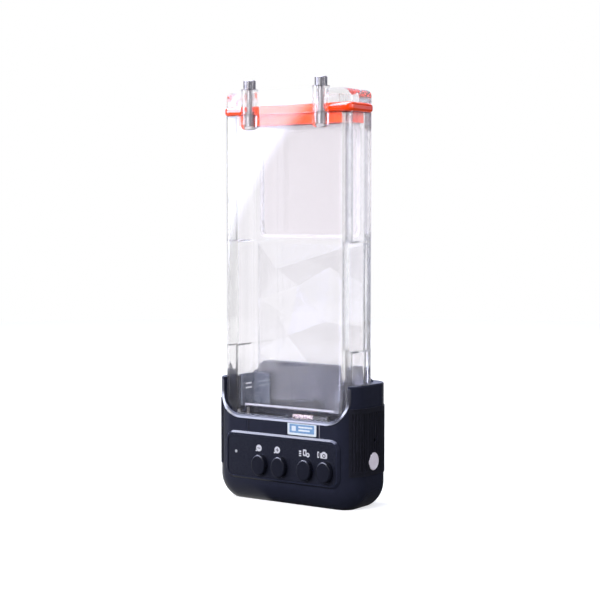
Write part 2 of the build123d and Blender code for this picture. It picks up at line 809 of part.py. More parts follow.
# Name strip, bare
with BuildPart() as name_strip:
    with BuildSketch(facing_front(front_y + strip_thickness)):
        with Locations((0, (strip_low + strip_high) / 2)):
            Rectangle(strip_width, strip_high - strip_low)
    extrude(amount=strip_thickness)
save(name_strip, "name_strip")

# Control plate with its button openings and the light's hole
with BuildPart() as control_plate:
    with BuildSketch(facing_front(plate_back)):
        with Locations((0, border_mid)):
            RectangleRounded(plate_width - 2 * plate_gap, plate_height - 2 * plate_gap,
                             border_r - border_rim - plate_gap)
        for place in button_places.values():
            with Locations((place, button_level)):
                Ellipse(button_width / 2 + button_gap, button_tall / 2 + button_gap,
                        mode=Mode.SUBTRACT)
        with Locations((light_across, light_level)):
            Circle(light_r + light_fit, mode=Mode.SUBTRACT)
    extrude(amount=plate_thickness)
save(control_plate, "control_plate")

# Light pipe from the circuit board to the plate's face
with BuildPart() as status_light:
    with BuildSketch(facing_front(board_front, light_across, light_level)):
        Circle(light_r)
    extrude(amount=board_front - plate_back + plate_thickness)
save(status_light, "status_light")

# Push buttons, each with its retaining clip, switch plunger and seal
stem_end = board_front - switch_height - plunger_out
clip_y = room_front + gland_boss_length
with BuildPart() as button_seals:
    for place in button_places.values():
        with BuildSketch(facing_front(clip_y, place, button_level)):
            Circle(seal_r - thread_slack)
            Circle(stem_r + thread_slack, mode=Mode.SUBTRACT)
        extrude(amount=seal_thickness - thread_slack)
save(button_seals, "button_seals")
for name, place in button_places.items():
    with BuildPart() as button:
        with BuildSketch(facing_front(cap_back, place, button_level)):
            Ellipse(button_width / 2, button_tall / 2)
        extrude(amount=button_proud + button_root)
        fillet(faces().sort_by(Axis.Y)[0].edges(), button_edge_r)
        with BuildSketch(facing_front(stem_end, place, button_level)):
            Circle(stem_r)
        extrude(amount=stem_end - cap_back)
        with BuildSketch(facing_front(clip_y + clip_thickness + clip_fit, place, button_level)):
            Circle(stem_r + over)
            Circle(clip_neck_r, mode=Mode.SUBTRACT)
        extrude(amount=clip_thickness + 2 * clip_fit, mode=Mode.SUBTRACT)
    save(button, name)
    kind = name.removeprefix("button_")
    with BuildPart() as clip:
        with BuildSketch(facing_front(clip_y + clip_thickness, place, button_level)):
            Circle(clip_r)
            Circle(clip_neck_r, mode=Mode.SUBTRACT)
        extrude(amount=clip_thickness)
    save(clip, f"clip_{kind}")
    with BuildPart() as plunger:
        with BuildSketch(facing_front(stem_end + plunger_out + plunger_sink, place,
                                      button_level)):
            Circle(plunger_r)
        extrude(amount=plunger_out + plunger_sink)
    save(plunger, f"plunger_{kind}")

# Tactile switches on the circuit board
with BuildPart() as front_switches:
    for place in button_places.values():
        with BuildSketch(facing_front(board_front, place, button_level)):
            Rectangle(switch_size, switch_size)
        extrude(amount=switch_height)
        with BuildSketch(facing_front(board_front - switch_height, place, button_level)):
            Circle(plunger_r + plunger_fit)
        extrude(amount=-(switch_height - switch_floor), mode=Mode.SUBTRACT)
save(front_switches, "front_switches")

# Side power button with the same parts behind it
power_root = power_face - power_depth
power_clip_x = side_room_x - gland_boss_length
power_stem_end = power_board_x + switch_height + plunger_out
with BuildPart() as power_button:
    with BuildSketch(facing_side(power_root, power_y, power_level)):
        Circle(power_r)
    extrude(amount=power_depth)
    chamfer(edges().group_by(Axis.X)[-1], power_edge)
    with BuildSketch(facing_side(power_stem_end, power_y, power_level)):
        Circle(stem_r)
    extrude(amount=power_root - power_stem_end)
    with BuildSketch(facing_side(power_clip_x - clip_thickness - clip_fit, power_y, power_level)):
        Circle(stem_r + over)
        Circle(clip_neck_r, mode=Mode.SUBTRACT)
    extrude(amount=clip_thickness + 2 * clip_fit, mode=Mode.SUBTRACT)
save(power_button, "power_button")

with BuildPart() as clip_power:
    with BuildSketch(facing_side(power_clip_x - clip_thickness, power_y, power_level)):
        Circle(clip_r)
        Circle(clip_neck_r, mode=Mode.SUBTRACT)
    extrude(amount=clip_thickness)
save(clip_power, "clip_power")

with BuildPart() as power_seal:
    with BuildSketch(facing_side(power_clip_x + thread_slack, power_y, power_level)):
        Circle(seal_r - thread_slack)
        Circle(stem_r + thread_slack, mode=Mode.SUBTRACT)
    extrude(amount=seal_thickness - thread_slack)
save(power_seal, "power_seal")

with BuildPart() as plunger_power:
    with BuildSketch(facing_side(power_stem_end - plunger_out - plunger_sink, power_y,
                                 power_level)):
        Circle(plunger_r)
    extrude(amount=plunger_out + plunger_sink)
save(plunger_power, "plunger_power")

with BuildPart() as power_switch:
    with BuildSketch(facing_side(power_board_x, power_y, power_level)):
        Rectangle(switch_size, switch_size)
    extrude(amount=switch_height)
    with BuildSketch(facing_side(power_board_x + switch_height, power_y, power_level)):
        Circle(plunger_r + plunger_fit)
    extrude(amount=-(switch_height - switch_floor), mode=Mode.SUBTRACT)
save(power_switch, "power_switch")

# Circuit boards and their screws
with BuildPart() as circuit_board:
    with BuildSketch(facing_front(board_front)):
        with Locations((0, (board_low + board_high) / 2)):
            Rectangle(board_width, board_high - board_low)
        with Locations(*standoff_places):
            Circle(board_screw_r, mode=Mode.SUBTRACT)
    extrude(amount=-board_thickness)
save(circuit_board, "circuit_board")

with BuildPart() as power_board:
    with BuildSketch(facing_side(power_board_x)):
        with Locations((power_y, power_level)):
            Rectangle(power_board_width, power_board_height)
        with Locations(*power_standoff_places):
            Circle(board_screw_r, mode=Mode.SUBTRACT)
    extrude(amount=-board_thickness)
save(power_board, "power_board")

with BuildPart() as board_screws:
    with BuildSketch(facing_front(board_front - board_screw_bite)):
        with Locations(*standoff_places):
            Circle(board_screw_r - thread_slack)
    extrude(amount=-(board_screw_bite + board_thickness))
    with BuildSketch(facing_front(board_front + board_thickness)):
        with Locations(*standoff_places):
            Circle(board_screw_head_r)
    extrude(amount=-board_screw_head)
save(board_screws, "board_screws")

with BuildPart() as power_board_screws:
    with BuildSketch(facing_side(power_board_x + board_screw_bite)):
        with Locations(*power_standoff_places):
            Circle(board_screw_r - thread_slack)
    extrude(amount=-(board_screw_bite + board_thickness))
    with BuildSketch(facing_side(power_board_x - board_thickness)):
        with Locations(*power_standoff_places):
            Circle(board_screw_head_r)
    extrude(amount=-board_screw_head)
save(power_board_screws, "power_board_screws")

# Wireless module on the back of the circuit board, and the battery on its shelf
with BuildPart() as wireless_module:
    with BuildSketch(facing_front(board_front + board_thickness)):
        with Locations((module_across, board_high - module_height)):
            Rectangle(module_width, module_height)
    extrude(amount=-module_thickness)
save(wireless_module, "wireless_module")

with BuildPart() as battery:
    with BuildSketch(facing_front(room_back)):
        with Locations((0, battery_level + battery_height / 2)):
            Rectangle(battery_width, battery_height)
    extrude(amount=battery_thickness)
    fillet(edges().filter_by(Axis.X), battery_edge_r)
save(battery, "battery")

# Bottom cover with the tripod insert's boss, and its screws
with BuildPart() as bottom_cover:
    with BuildSketch(Plane.XY):
        with Locations((0, mid_y)):
            RectangleRounded(cover_width, cover_depth, cover_corner_r)
    extrude(amount=cover_skin)
    with BuildSketch(Plane.XY.offset(cover_skin)):
        with Locations((0, mid_y)):
            Circle(tripod_boss_r)
    extrude(amount=tripod_length)
    with BuildSketch(Plane.XY):
        with Locations((0, mid_y)):
            Circle(tripod_insert_r)
    extrude(amount=tripod_length, mode=Mode.SUBTRACT)
    with BuildSketch(Plane.XY):
        with Locations(*cover_screw_places):
            Circle(cover_screw_head_r + cover_hole_gap)
    extrude(amount=cover_screw_head, mode=Mode.SUBTRACT)
    with BuildSketch(Plane.XY):
        with Locations(*cover_screw_places):
            Circle(cover_screw_r + cover_hole_gap)
    extrude(amount=cover_skin, mode=Mode.SUBTRACT)
save(bottom_cover, "bottom_cover")

with BuildPart() as cover_screws:
    with BuildSketch(Plane.XY):
        with Locations(*cover_screw_places):
            Circle(cover_screw_head_r)
    extrude(amount=cover_screw_head)
    with BuildSketch(Plane.XY.offset(cover_screw_head)):
        with Locations(*cover_screw_places):
            Circle(cover_screw_r - thread_slack)
    extrude(amount=cover_screw_length - cover_screw_head - over / 2)
save(cover_screws, "cover_screws")

with BuildPart() as tripod_insert:
    with BuildSketch(Plane.XY):
        with Locations((0, mid_y)):
            Circle(tripod_insert_r)
            Circle(tripod_thread_r, mode=Mode.SUBTRACT)
    extrude(amount=tripod_length)
save(tripod_insert, "tripod_insert")

# Screws that hold the housing on the base, driven from inside the room
with BuildPart() as housing_screws:
    with BuildSketch(Plane.XY.offset(deck_low)):
        with Locations(*housing_screw_places):
            Circle(housing_screw_head_r)
    extrude(amount=-housing_screw_head)
    with BuildSketch(Plane.XY.offset(deck_low)):
        with Locations(*housing_screw_places):
            Circle(housing_screw_r)
    extrude(amount=deck_wall + base_seal_thickness + housing_screw_bite - over / 2)
save(housing_screws, "housing_screws")

# Contact block and ribbed contact strip in the foot of the clear housing
contact_y = housing_front + contact_inset + contact_depth / 2
with BuildPart() as contact_block:
    with BuildSketch(Plane.XY.offset(housing_low)):
        with Locations((contact_left + strip_contact_width + block_width / 2, contact_y)):
            Rectangle(block_width, contact_depth)
    extrude(amount=contact_height)
save(contact_block, "contact_block")

with BuildPart() as contact_strip:
    with BuildSketch(Plane.XY.offset(housing_low)):
        with Locations((contact_left + strip_contact_width / 2, contact_y)):
            Rectangle(strip_contact_width, contact_depth)
    extrude(amount=contact_height)
    tooth_pitch = strip_contact_width / contact_teeth
    with BuildSketch(facing_front(contact_y - contact_depth / 2)):
        for index in range(contact_teeth):
            with Locations((contact_left + (index + 1 / 2) * tooth_pitch,
                            housing_low + contact_height / 2)):
                Rectangle(contact_tooth, contact_height)
    extrude(amount=-contact_tooth_depth, mode=Mode.SUBTRACT)
save(contact_strip, "contact_strip")

# Sensor cover bent round the lower left back corner of the phone space, with two marks
cavity_left = -cavity_width / 2
with BuildPart() as sensor_cover:
    with BuildSketch(Plane.XY.offset(cavity_low)):
        with Locations((0, cavity_mid)):
            RectangleRounded(cavity_width, cavity_depth, cavity_corner_r)
            RectangleRounded(cavity_width - 2 * sensor_thickness,
                             cavity_depth - 2 * sensor_thickness,
                             cavity_corner_r - sensor_thickness, mode=Mode.SUBTRACT)
        with Locations((cavity_left, cavity_back)):
            Rectangle(2 * sensor_back_run, 2 * sensor_side_run, mode=Mode.INTERSECT)
    extrude(amount=sensor_height)
save(sensor_cover, "sensor_cover")

with BuildPart() as sensor_marks:
    for row in range(2):
        with BuildSketch(facing_side(cavity_left + sensor_thickness,
                                     cavity_back - sensor_side_run / 2,
                                     cavity_low + mark_level + row * mark_pitch)):
            Rectangle(mark_length, mark_height)
        extrude(amount=mark_thickness)
save(sensor_marks, "sensor_marks")
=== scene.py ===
"""Looks of the waterproof phone case: materials, printed signs, the plain label, studio and
camera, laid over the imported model. Metres where a comment says nothing else, +Z up, front
towards -Y."""
import math

import bpy
from mathutils import Matrix, Vector


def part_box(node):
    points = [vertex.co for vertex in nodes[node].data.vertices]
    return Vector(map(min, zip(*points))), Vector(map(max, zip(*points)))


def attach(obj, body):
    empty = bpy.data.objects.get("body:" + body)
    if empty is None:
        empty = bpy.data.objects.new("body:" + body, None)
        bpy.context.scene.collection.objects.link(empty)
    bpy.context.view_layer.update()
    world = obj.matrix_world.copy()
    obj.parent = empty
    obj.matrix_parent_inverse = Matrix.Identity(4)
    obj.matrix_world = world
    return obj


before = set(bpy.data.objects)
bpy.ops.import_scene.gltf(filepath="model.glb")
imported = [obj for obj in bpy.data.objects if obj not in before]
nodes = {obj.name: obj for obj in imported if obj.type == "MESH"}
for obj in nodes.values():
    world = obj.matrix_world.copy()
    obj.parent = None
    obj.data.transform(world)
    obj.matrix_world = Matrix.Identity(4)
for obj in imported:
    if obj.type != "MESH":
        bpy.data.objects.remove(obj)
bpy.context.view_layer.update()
scene = bpy.context.scene
scene.view_settings.view_transform = "Standard"

MM = 0.001
WHITE = (1, 1, 1)
UP = Vector((0, 0, 1))

# Camera of the photograph
VIEW_AZIMUTH = math.radians(35.0)
IMAGE_PX = 600
FOCAL_PX = 1500
HORIZON_DROP_PX = 86
VIEW_PITCH = math.atan(HORIZON_DROP_PX / FOCAL_PX)
CAMERA_PLACE = Vector((0.52584, -0.74997, 0.17609))

camera_data = bpy.data.cameras.new("camera")
camera_data.sensor_width = 36
camera_data.lens = FOCAL_PX / IMAGE_PX * camera_data.sensor_width
camera_data.clip_start = 0.01
camera = bpy.data.objects.new("camera", camera_data)
camera.location = CAMERA_PLACE
camera.rotation_euler = (math.pi / 2 - VIEW_PITCH, 0, VIEW_AZIMUTH)
scene.collection.objects.link(camera)
scene.camera = camera

RIGHTWARD = Vector((math.cos(VIEW_AZIMUTH), math.sin(VIEW_AZIMUTH), 0))
AWAY = Vector((-math.sin(VIEW_AZIMUTH), math.cos(VIEW_AZIMUTH), 0))
FORWARD = AWAY * math.cos(VIEW_PITCH) - UP * math.sin(VIEW_PITCH)
UPWARD = RIGHTWARD.cross(FORWARD)


def seen_in_front(u, v):
    """Direction that the case's flat front mirrors into the camera at one place of the image."""
    ray = (FORWARD + RIGHTWARD * (u - IMAGE_PX / 2) / FOCAL_PX
           + UPWARD * (IMAGE_PX / 2 - v) / FOCAL_PX).normalized()
    return Vector((ray.x, -ray.y, ray.z))


def compass(azimuth, rise=0.0):
    """Direction at an azimuth from the front towards the right and a rise, in degrees."""
    turn, lift = math.radians(azimuth), math.radians(rise)
    return Vector((math.sin(turn) * math.cos(lift), -math.cos(turn) * math.cos(lift),
                   math.sin(lift)))


class Graph:
    """Small helper that adds and links shader nodes."""

    def __init__(self, owner):
        owner.use_nodes = True
        self.tree = owner.node_tree
        self.tree.nodes.clear()

    def add(self, kind, inputs=None, **settings):
        node = self.tree.nodes.new(kind)
        for key, value in settings.items():
            setattr(node, key, value)
        for key, value in (inputs or {}).items():
            self.feed(node.inputs[key], value)
        return node

    def feed(self, socket, value):
        if isinstance(value, bpy.types.NodeSocket):
            self.tree.links.new(value, socket)
        elif socket.type == "RGBA":
            socket.default_value = (*value, 1)
        else:
            socket.default_value = value

    def math(self, operation, first, second=0.0):
        return self.add("ShaderNodeMath", {0: first, 1: second}, operation=operation).outputs[0]

    def dot(self, vector, direction):
        return self.add("ShaderNodeVectorMath", {0: vector, 1: direction},
                        operation="DOT_PRODUCT").outputs["Value"]

    def ramp(self, value, low, high, start, end, smooth=True):
        return self.add("ShaderNodeMapRange",
                        {"Value": value, "From Min": low, "From Max": high,
                         "To Min": start, "To Max": end}, clamp=True,
                        interpolation_type="SMOOTHSTEP" if smooth else "LINEAR").outputs["Result"]

    def place(self):
        return self.add("ShaderNodeTexCoord").outputs["Object"]

    def noise(self, place, scale, detail=2.0):
        return self.add("ShaderNodeTexNoise", {"Vector": place, "Scale": scale,
                                               "Detail": detail}).outputs["Fac"]

    def blend(self, share, first, second, kind="RGBA"):
        node = self.add("ShaderNodeMix", {"Factor": share}, data_type=kind)
        for socket, value in zip([s for s in node.inputs if s.type == kind][-2:],
                                 (first, second)):
            self.feed(socket, value)
        return [s for s in node.outputs if s.type == kind][0]

    def glow(self, strength, tint=WHITE):
        return self.add("ShaderNodeEmission", {"Color": tint, "Strength": strength}).outputs[0]

    def choose(self, share, value, other):
        """Value where the share is 1, the other where it is 0."""
        return self.math("ADD", self.math("MULTIPLY", share, value),
                         self.math("MULTIPLY", self.math("SUBTRACT", 1.0, share), other))


# Shares of the grain at which a material's first shade and roughness end and its second begin
SHADE_SPAN = (0.35, 0.65)
ROUGH_SPAN = (0.3, 0.7)
GRAIN_DETAIL = 3.0
BUMP_DISTANCE = 0.1 * MM


def surface(name, shades, rough, grain, bump=0.0, bump_scale=0.0, fixed=None):
    """Procedural material: two shades and two roughnesses mixed by grain, with a fine bump."""
    material = bpy.data.materials.new(name)
    graph = Graph(material)
    place = graph.place()
    cloud = graph.noise(place, grain, GRAIN_DETAIL)
    inputs = {"Base Color": graph.blend(graph.ramp(cloud, *SHADE_SPAN, 0, 1), *shades),
              "Roughness": graph.ramp(cloud, *ROUGH_SPAN, *rough), **(fixed or {})}
    if bump:
        inputs["Normal"] = graph.add("ShaderNodeBump", {
            "Strength": bump, "Distance": BUMP_DISTANCE,
            "Height": graph.noise(place, bump_scale)}).outputs["Normal"]
    shader = graph.add("ShaderNodeBsdfPrincipled", inputs)
    graph.add("ShaderNodeOutputMaterial", {"Surface": shader.outputs["BSDF"]})
    return material


# Clear moulding. The faces of its faceted back panel are crisp. By the way each one leans it gets
# painted shade, a lighter or darker tint, and a painted sheen, less clearness, most where the
# black base stands behind them.
RELIEF_HALF, RELIEF_LOW, RELIEF_HIGH, RELIEF_DEEP = 36.3 * MM, 59.4 * MM, 157.5 * MM, 2.0 * MM
FACET_SHADE_LEAN, FACET_SHADE_SPAN = Vector((0.80, 0.0, 0.60)), (-0.045, 0.045)
SHEEN_LEAN, SHEEN_SPAN = Vector((-0.55, 0.0, 0.83)), (0.0, 0.06)
CROSS_SHEEN_LEAN, CROSS_SHEEN_SPAN, CROSS_SHEEN_SHARE = Vector((0.95, 0.0, -0.30)), (0.0, 0.05), 0.6
SHEEN_LOW, SHEEN_HIGH, BASE_BACK_TOP = 0.16, 0.08, (83 * MM, 87 * MM)
BODY_SHADES = ((0.978, 0.966, 0.988), (0.985, 0.973, 0.993))
PANEL_LIT, PANEL_SHADED = (0.945, 0.935, 0.962), (0.67, 0.65, 0.685)
BODY_GRAIN, POLISH_GRAIN, POLISH = 40, 90, (0.0, 0.006)
CLEAR_SHARE = 0.985

clear_plastic = bpy.data.materials.new("clear_plastic")
graph = Graph(clear_plastic)
place = graph.place()
spot = graph.add("ShaderNodeSeparateXYZ", {0: place}).outputs
facing = graph.add("ShaderNodeNewGeometry").outputs
panel_share = graph.math("GREATER_THAN", spot["Y"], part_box("housing_body")[1][1] - RELIEF_DEEP)
for limit in (graph.math("LESS_THAN", graph.math("ABSOLUTE", spot["X"]), RELIEF_HALF),
              graph.math("GREATER_THAN", spot["Z"], RELIEF_LOW),
              graph.math("LESS_THAN", spot["Z"], RELIEF_HIGH)):
    panel_share = graph.math("MULTIPLY", panel_share, limit)


def leaning(lean, span, most=1.0):
    """Share of a facet, by how far it leans one way, on the faceted panel only."""
    return graph.math("MULTIPLY", panel_share, graph.ramp(
        graph.dot(facing["True Normal"], lean), *span, 0, most, smooth=False))


# Painted sheen: facets leaning two ways lose clearness and show lighter against the dark base,
# more below the top of the base's back
facet_sheen = graph.math("MULTIPLY",
                  graph.math("ADD", leaning(SHEEN_LEAN, SHEEN_SPAN),
                             leaning(CROSS_SHEEN_LEAN, CROSS_SHEEN_SPAN, CROSS_SHEEN_SHARE)),
                  graph.ramp(spot["Z"], *BASE_BACK_TOP, SHEEN_LOW, SHEEN_HIGH))
body = graph.blend(graph.ramp(graph.noise(place, BODY_GRAIN), *SHADE_SPAN, 0, 1), *BODY_SHADES)
# Painted shade on the faceted panel: each facet is tinted between a lit and a shaded colour by
# how it leans
moulding = graph.add("ShaderNodeBsdfPrincipled", {
    "Base Color": graph.blend(leaning(FACET_SHADE_LEAN, FACET_SHADE_SPAN),
                              graph.blend(panel_share, body, PANEL_LIT), PANEL_SHADED),
    "Roughness": graph.ramp(graph.noise(place, POLISH_GRAIN), *ROUGH_SPAN, *POLISH),
    "Transmission Weight": graph.math("SUBTRACT", CLEAR_SHARE, facet_sheen),
    "IOR": 1.46, "Alpha": 0.9,
    "Normal": graph.blend(panel_share, facing["Normal"], facing["True Normal"], "VECTOR")})
graph.add("ShaderNodeOutputMaterial", {"Surface": moulding.outputs["BSDF"]})

window_clear = surface("window_clear", ((0.93, 0.88, 0.93), (0.945, 0.895, 0.945)),
                       (0.0, 0.008), 40, fixed={"Transmission Weight": 0.98, "IOR": 1.46,
                                                "Alpha": 0.85})
shell_black = surface("shell_black", ((0.0128, 0.0142, 0.0255), (0.0136, 0.0150, 0.0270)),
                      (0.25, 0.27), 260, 0.01, 7000, fixed={"Specular IOR Level": 0.14})
# Painted highlight: lighter than the shell's black, for the lip's bright bevel
lip_highlight_grey = surface("lip_highlight_grey", ((0.040, 0.040, 0.052), (0.044, 0.044, 0.056)),
                    (0.20, 0.22), 260, fixed={"Specular IOR Level": 0.95})
# Painted highlight: pale grey for the bright front edge of the clear floor
edge_highlight_pale = surface("edge_highlight_pale", ((0.34, 0.34, 0.40), (0.42, 0.42, 0.48)), (0.15, 0.25), 700,
                    fixed={"Specular IOR Level": 0.6})
plate_black = surface("plate_black", ((0.0096, 0.0105, 0.0180), (0.0102, 0.0112, 0.0192)),
                      (0.27, 0.28), 2500, fixed={"Specular IOR Level": 0.14})
button_black = surface("button_black", ((0.0096, 0.0104, 0.0176), (0.0102, 0.0110, 0.0186)),
                       (0.19, 0.21), 350, fixed={"Specular IOR Level": 0.20})
grip_black = surface("grip_black", ((0.006, 0.006, 0.010), (0.009, 0.009, 0.014)),
                     (0.50, 0.62), 500, 0.1, 5000, fixed={"Specular IOR Level": 0.12})
seal_black = surface("seal_black", ((0.003, 0.003, 0.004), (0.005, 0.005, 0.006)),
                     (0.5, 0.6), 400, 0.1, 3000, fixed={"Specular IOR Level": 0.05})
gasket_orange = surface("gasket_orange", ((0.97, 0.052, 0.003), (1.0, 0.070, 0.005)),
                        (0.06, 0.10), 120, 0.02, 2500, fixed={"Specular IOR Level": 0.7})
turned_steel = surface("turned_steel", ((0.20, 0.19, 0.20), (0.26, 0.25, 0.26)),
                       (0.30, 0.36), 900, fixed={"Metallic": 0.7})
polished_steel = surface("polished_steel", ((0.88, 0.80, 0.84), (0.94, 0.87, 0.90)),
                         (0.30, 0.36), 300, 0.02, 3000, fixed={"Metallic": 0.05})
strip_metal = surface("strip_metal", ((0.72, 0.60, 0.58), (0.85, 0.74, 0.72)),
                      (0.2, 0.35), 800, 0.1, 5000, fixed={"Metallic": 1.0})
brass = surface("brass", ((0.70, 0.52, 0.24), (0.80, 0.62, 0.32)), (0.25, 0.38), 700, 0.1, 5000,
                fixed={"Metallic": 1.0})
board_green = surface("board_green", ((0.015, 0.10, 0.05), (0.03, 0.15, 0.08)), (0.3, 0.45),
                      600, 0.1, 4000)
dark_moulding = surface("dark_moulding", ((0.012, 0.012, 0.014), (0.02, 0.02, 0.023)),
                        (0.35, 0.5), 500, 0.1, 5000)
shield_metal = surface("shield_metal", ((0.5, 0.5, 0.5), (0.6, 0.6, 0.6)), (0.3, 0.4), 600,
                       0.1, 4000, fixed={"Metallic": 1.0})
battery_film = surface("battery_film", ((0.03, 0.035, 0.05), (0.05, 0.055, 0.075)), (0.3, 0.5),
                       200, 0.1, 1500)
light_lens = surface("light_lens", ((0.55, 0.57, 0.62), (0.75, 0.77, 0.82)), (0.1, 0.2), 2000,
                     fixed={"Transmission Weight": 0.3, "IOR": 1.5})
sensor_grey = surface("sensor_grey", ((0.06, 0.07, 0.10), (0.09, 0.10, 0.14)), (0.25, 0.4), 300,
                      0.05, 4000)
# Painted highlight: grey for the lit chamfer of the name strip's right seam
seam_highlight_grey = surface("seam_highlight_grey", ((0.10, 0.095, 0.11), (0.14, 0.13, 0.15)), (0.3, 0.4), 900)
mark_white = surface("mark_white", ((0.80, 0.80, 0.83), (0.90, 0.90, 0.93)), (0.4, 0.5), 800)
print_white = surface("print_white", ((0.50, 0.50, 0.54), (0.56, 0.56, 0.60)), (0.4, 0.5), 2000,
                      0.05, 9000)
label_white = surface("label_white", ((0.62, 0.66, 0.70), (0.68, 0.72, 0.76)), (0.3, 0.4), 900,
                      0.03, 5000)
label_blue = surface("label_blue", ((0.13, 0.26, 0.46), (0.17, 0.31, 0.51)), (0.3, 0.4), 900,
                     0.03, 5000)

# Nearly clear bonding seal of the window
adhesive = bpy.data.materials.new("adhesive")
graph = Graph(adhesive)
film = graph.add("ShaderNodeBsdfPrincipled", {
    "Base Color": (0.85, 0.83, 0.87),
    "Roughness": graph.ramp(graph.noise(graph.place(), 300), *ROUGH_SPAN, 0.3, 0.5),
    "Alpha": 0.10})
graph.add("ShaderNodeOutputMaterial", {"Surface": film.outputs["BSDF"]})

COATS = {
    clear_plastic: ["housing_body", "lid"],
    window_clear: ["camera_window"],
    adhesive: ["window_seal"],
    shell_black: ["base_shell", "bottom_cover", "name_strip"],
    plate_black: ["control_plate"],
    button_black: ["button_zoom_out", "button_zoom_in", "button_gallery", "button_shutter"],
    grip_black: ["side_grip_left", "side_grip_right"],
    seal_black: ["base_seal", "button_seals", "power_seal"],
    gasket_orange: ["lid_gasket"],
    turned_steel: ["thumb_screw_left", "thumb_screw_right", "retaining_ring_left",
                   "retaining_ring_right", "clip_zoom_out", "clip_zoom_in", "clip_gallery",
                   "clip_shutter", "clip_power", "board_screws", "power_board_screws",
                   "cover_screws", "housing_screws", "thread_insert_left",
                   "thread_insert_right"],
    strip_metal: ["contact_strip"],
    polished_steel: ["power_button"],
    brass: ["tripod_insert"],
    board_green: ["circuit_board", "power_board"],
    dark_moulding: ["front_switches", "power_switch", "plunger_zoom_out", "plunger_zoom_in",
                    "plunger_gallery", "plunger_shutter", "plunger_power", "contact_block"],
    shield_metal: ["wireless_module"],
    battery_film: ["battery"],
    light_lens: ["status_light"],
    sensor_grey: ["sensor_cover"],
    mark_white: ["sensor_marks"],
}
for material, names in COATS.items():
    for name in names:
        nodes[name].data.materials.clear()
        nodes[name].data.materials.append(material)

# Light passes through the clear mouldings
for name in ("housing_body", "lid", "camera_window", "window_seal"):
    nodes[name].visible_shadow = False


def add_piece(name, mesh, material, body):
    """Object of a mesh with one material, which rides on a body."""
    mesh.name = name
    mesh.materials.clear()
    mesh.materials.append(material)
    piece = bpy.data.objects.new(name, mesh)
    scene.collection.objects.link(piece)
    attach(piece, body)
    return piece


# Flat signs. Their outlines are points (x, z) in millimetres, and a hole runs the other way.
ARC_STEPS = 32
CORNER_STEPS = 6


def arc(x, z, radius, start=0.0, end=360.0, steps=ARC_STEPS):
    """Points on an arc, or on a whole circle without its first point repeated."""
    count = steps if abs(end - start) >= 360 else steps + 1
    turns = [math.radians(start + (end - start) * i / steps) for i in range(count)]
    return [(x + radius * math.cos(t), z + radius * math.sin(t)) for t in turns]


def round_box(x0, z0, x1, z1, r):
    """Points of a rectangle with round corners."""
    points = []
    for cx, cz, start in ((x1 - r, z1 - r, 0), (x0 + r, z1 - r, 90), (x0 + r, z0 + r, 180),
                          (x1 - r, z0 + r, 270)):
        points += arc(cx, cz, r, start, start + 90, CORNER_STEPS)
    return points


def printed(name, loops, y, thickness, material, body):
    """Flat sign facing the front, from outlines with holes, on the plane y."""
    curve = bpy.data.curves.new(name, "CURVE")
    curve.dimensions = "2D"
    curve.fill_mode = "BOTH"
    curve.extrude = thickness * MM / 2
    for loop in loops:
        spline = curve.splines.new("POLY")
        spline.points.add(len(loop) - 1)
        for point, (x, z) in zip(spline.points, loop):
            point.co = (x * MM, z * MM, 0, 1)
        spline.use_cyclic_u = True
    shape = bpy.data.objects.new(name + "_outline", curve)
    scene.collection.objects.link(shape)
    mesh = bpy.data.meshes.new_from_object(shape)
    bpy.data.objects.remove(shape)
    mesh.transform(Matrix.Translation((0, (y - thickness / 2) * MM, 0))
                   @ Matrix.Rotation(math.pi / 2, 4, "X"))
    add_piece(name, mesh, material, body)


# Printed signs above the push buttons: a lens with a minus or a plus cut out of it, a list
# beside a picture, and a switch beside a camera
PLATE_Y = -19.3
PRINT = 0.05
LENS_R, LENS_OPEN, LENS_STEPS = 2.05, (-125, 215), 36
HANDLE = ((-2.70, -1.55), (-2.10, -2.25))
MARK_REACH, MARK_HALF = 1.15, 0.26
LIST_ROWS, LIST_LOW, LIST_PITCH, LIST_TALL = 3, 31.2, 1.3, 0.85


def magnifier(x, z, plus):
    """Filled lens with a handle to the lower left, and a minus or a plus cut out of it."""
    reach, half = MARK_REACH, MARK_HALF
    if plus:
        mark = [(-reach, -half), (-half, -half), (-half, -reach), (half, -reach), (half, -half),
                (reach, -half), (reach, half), (half, half), (half, reach), (-half, reach),
                (-half, half), (-reach, half)]
    else:
        mark = [(-reach, -half), (reach, -half), (reach, half), (-reach, half)]
    lens = arc(x, z, LENS_R, *LENS_OPEN, LENS_STEPS) + [(x + dx, z + dz) for dx, dz in HANDLE]
    return [lens, [(x + dx, z + dz) for dx, dz in reversed(mark)]]


SIGNS = {"sign_zoom_out": magnifier(-16.4, 33.4, False),
         "sign_zoom_in": magnifier(-2.6, 33.4, True)}
for row in range(LIST_ROWS):
    low = LIST_LOW + row * LIST_PITCH
    SIGNS[f"sign_list_{row}"] = [round_box(13.5, low, 15.1, low + LIST_TALL, 0.2)]
SIGNS.update({
    "sign_gallery": [round_box(16.4, 31.6, 18.9, 35.6, 0.5),
                     round_box(17.1, 32.5, 18.2, 34.6, 0.25)[::-1]],
    "sign_gallery_play": [arc(19.9, 32.4, 1.35), arc(19.9, 32.4, 0.55)[::-1]],
    "sign_switch": [round_box(26.8, 31.4, 28.1, 35.2, 0.5),
                    round_box(27.25, 32.2, 27.9, 34.4, 0.2)[::-1]],
    "sign_camera": [round_box(29.0, 31.3, 33.8, 34.6, 0.6), arc(31.5, 32.95, 1.15)[::-1]],
    "sign_camera_top": [[(30.1, 34.6), (30.7, 35.3), (32.3, 35.3), (32.9, 34.6)]],
    "sign_camera_lens": [arc(31.5, 32.95, 0.6)]})
for name, loops in SIGNS.items():
    printed(name, loops, PLATE_Y, PRINT, print_white, "case")

